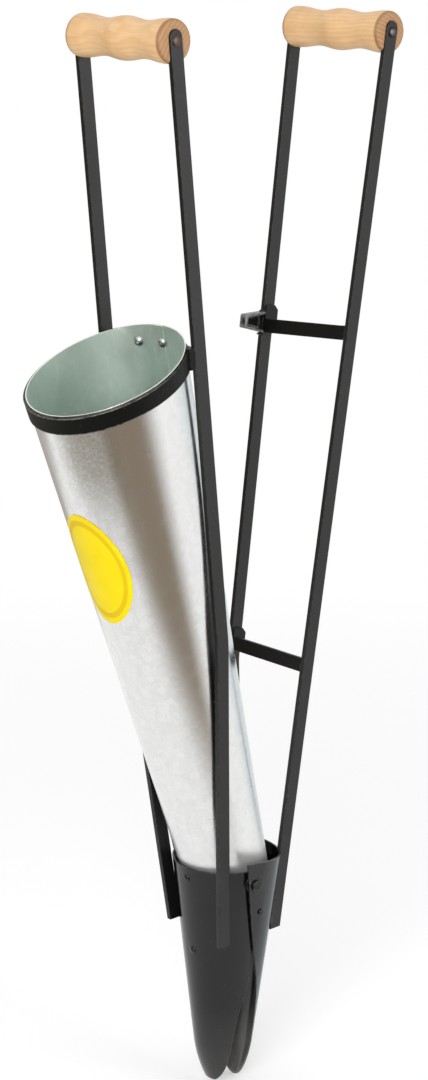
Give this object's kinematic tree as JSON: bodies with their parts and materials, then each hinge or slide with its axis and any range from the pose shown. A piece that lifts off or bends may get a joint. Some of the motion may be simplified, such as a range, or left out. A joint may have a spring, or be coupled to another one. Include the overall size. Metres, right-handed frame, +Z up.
{
  "type": "hand planter",
  "caption": "Upright hand planter: two hinged handles with wooden grips, a slanting sheet-metal tube and a tapered two-jaw bill that opens when the handles are pushed together.",
  "frame": {"origin": "middle of the front grip, on its axis", "axes": "+X from the front grip to the rear grip, +Y along the grips to the side of the stop box, +Z up from the bill to the grips"},
  "size_m": [0.3397, 0.1372, 0.9336],
  "materials": {
    "black_paint": "satin",
    "galvanised_sheet": "satin",
    "turned_wood": "satin",
    "bare_steel": "satin"
  },
  "bodies": {
    "front_half": {"front_bar_right": "black_paint", "front_bar_left": "black_paint", "front_grip": "turned_wood", "front_grip_rod": "bare_steel", "front_jaw": "black_paint", "hinge_bushes": "bare_steel", "hinge_bolts": "black_paint", "hinge_nuts": "bare_steel", "seed_tube": "galvanised_sheet", "rim_band": "black_paint", "back_strap": "black_paint", "tube_rivets": "bare_steel", "foot_strap": "black_paint", "jaw_rivets": "black_paint"},
    "rear_half": {"rear_bar_right": "black_paint", "rear_bar_left": "black_paint", "rear_grip": "turned_wood", "rear_grip_rod": "bare_steel", "upper_crossbar": "black_paint", "lower_crossbar": "black_paint", "rear_jaw": "black_paint", "stop_rivets": "bare_steel", "closing_stop": "black_paint"}
  },
  "joints": [
    {"name": "bill_hinge", "type": "hinge", "parent": "front_half", "child": "rear_half", "pos_m": [0.104, 0, -0.714], "axis": [0, -1, 0], "range_deg": [0, 14]}
  ]
}
